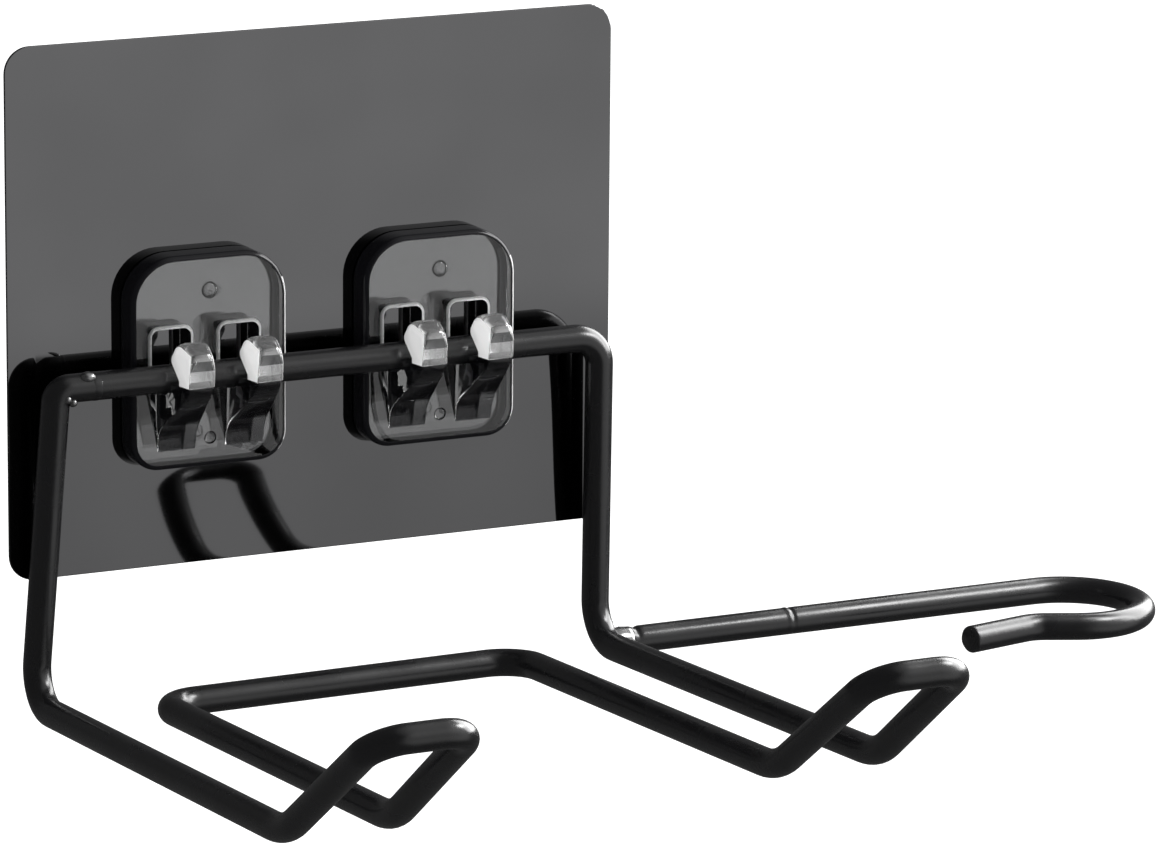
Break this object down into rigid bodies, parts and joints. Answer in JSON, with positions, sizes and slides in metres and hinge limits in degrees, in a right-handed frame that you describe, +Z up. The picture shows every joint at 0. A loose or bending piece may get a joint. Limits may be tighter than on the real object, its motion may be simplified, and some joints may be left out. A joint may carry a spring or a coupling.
{
  "type": "hair dryer holder",
  "caption": "Adhesive wall holder for a hair dryer: glossy sheet, clear clips and a bent wire rack with upturned loop ends and a side hook for the plug.",
  "frame": {"origin": "centre of the adhesive layer's back face, on the wall plane", "axes": "+X to the right seen from the room, +Y into the wall, +Z up"},
  "size_m": [0.1874, 0.1236, 0.1029],
  "materials": {
    "black_sheet": "mirror-gloss black",
    "adhesive": "soft tacky film",
    "clear_plastic": "clear polished moulding",
    "black_wire": "satin black powder coat"
  },
  "bodies": {
    "wall_plate": {"wall_sheet": "black_sheet", "adhesive_layer": "adhesive", "clip_left": "clear_plastic", "clip_right": "clear_plastic"},
    "rack": {"rack_wire": "black_wire", "rack_weld": "black_wire", "plug_hook_wire": "black_wire", "plug_hook_weld": "black_wire"}
  },
  "joints": [
    {"name": "rack_swing", "type": "hinge", "parent": "wall_plate", "child": "rack", "pos_m": [0, -0.0075, -0.01], "axis": [-1, 0, 0], "range_deg": [0, 100]}
  ]
}
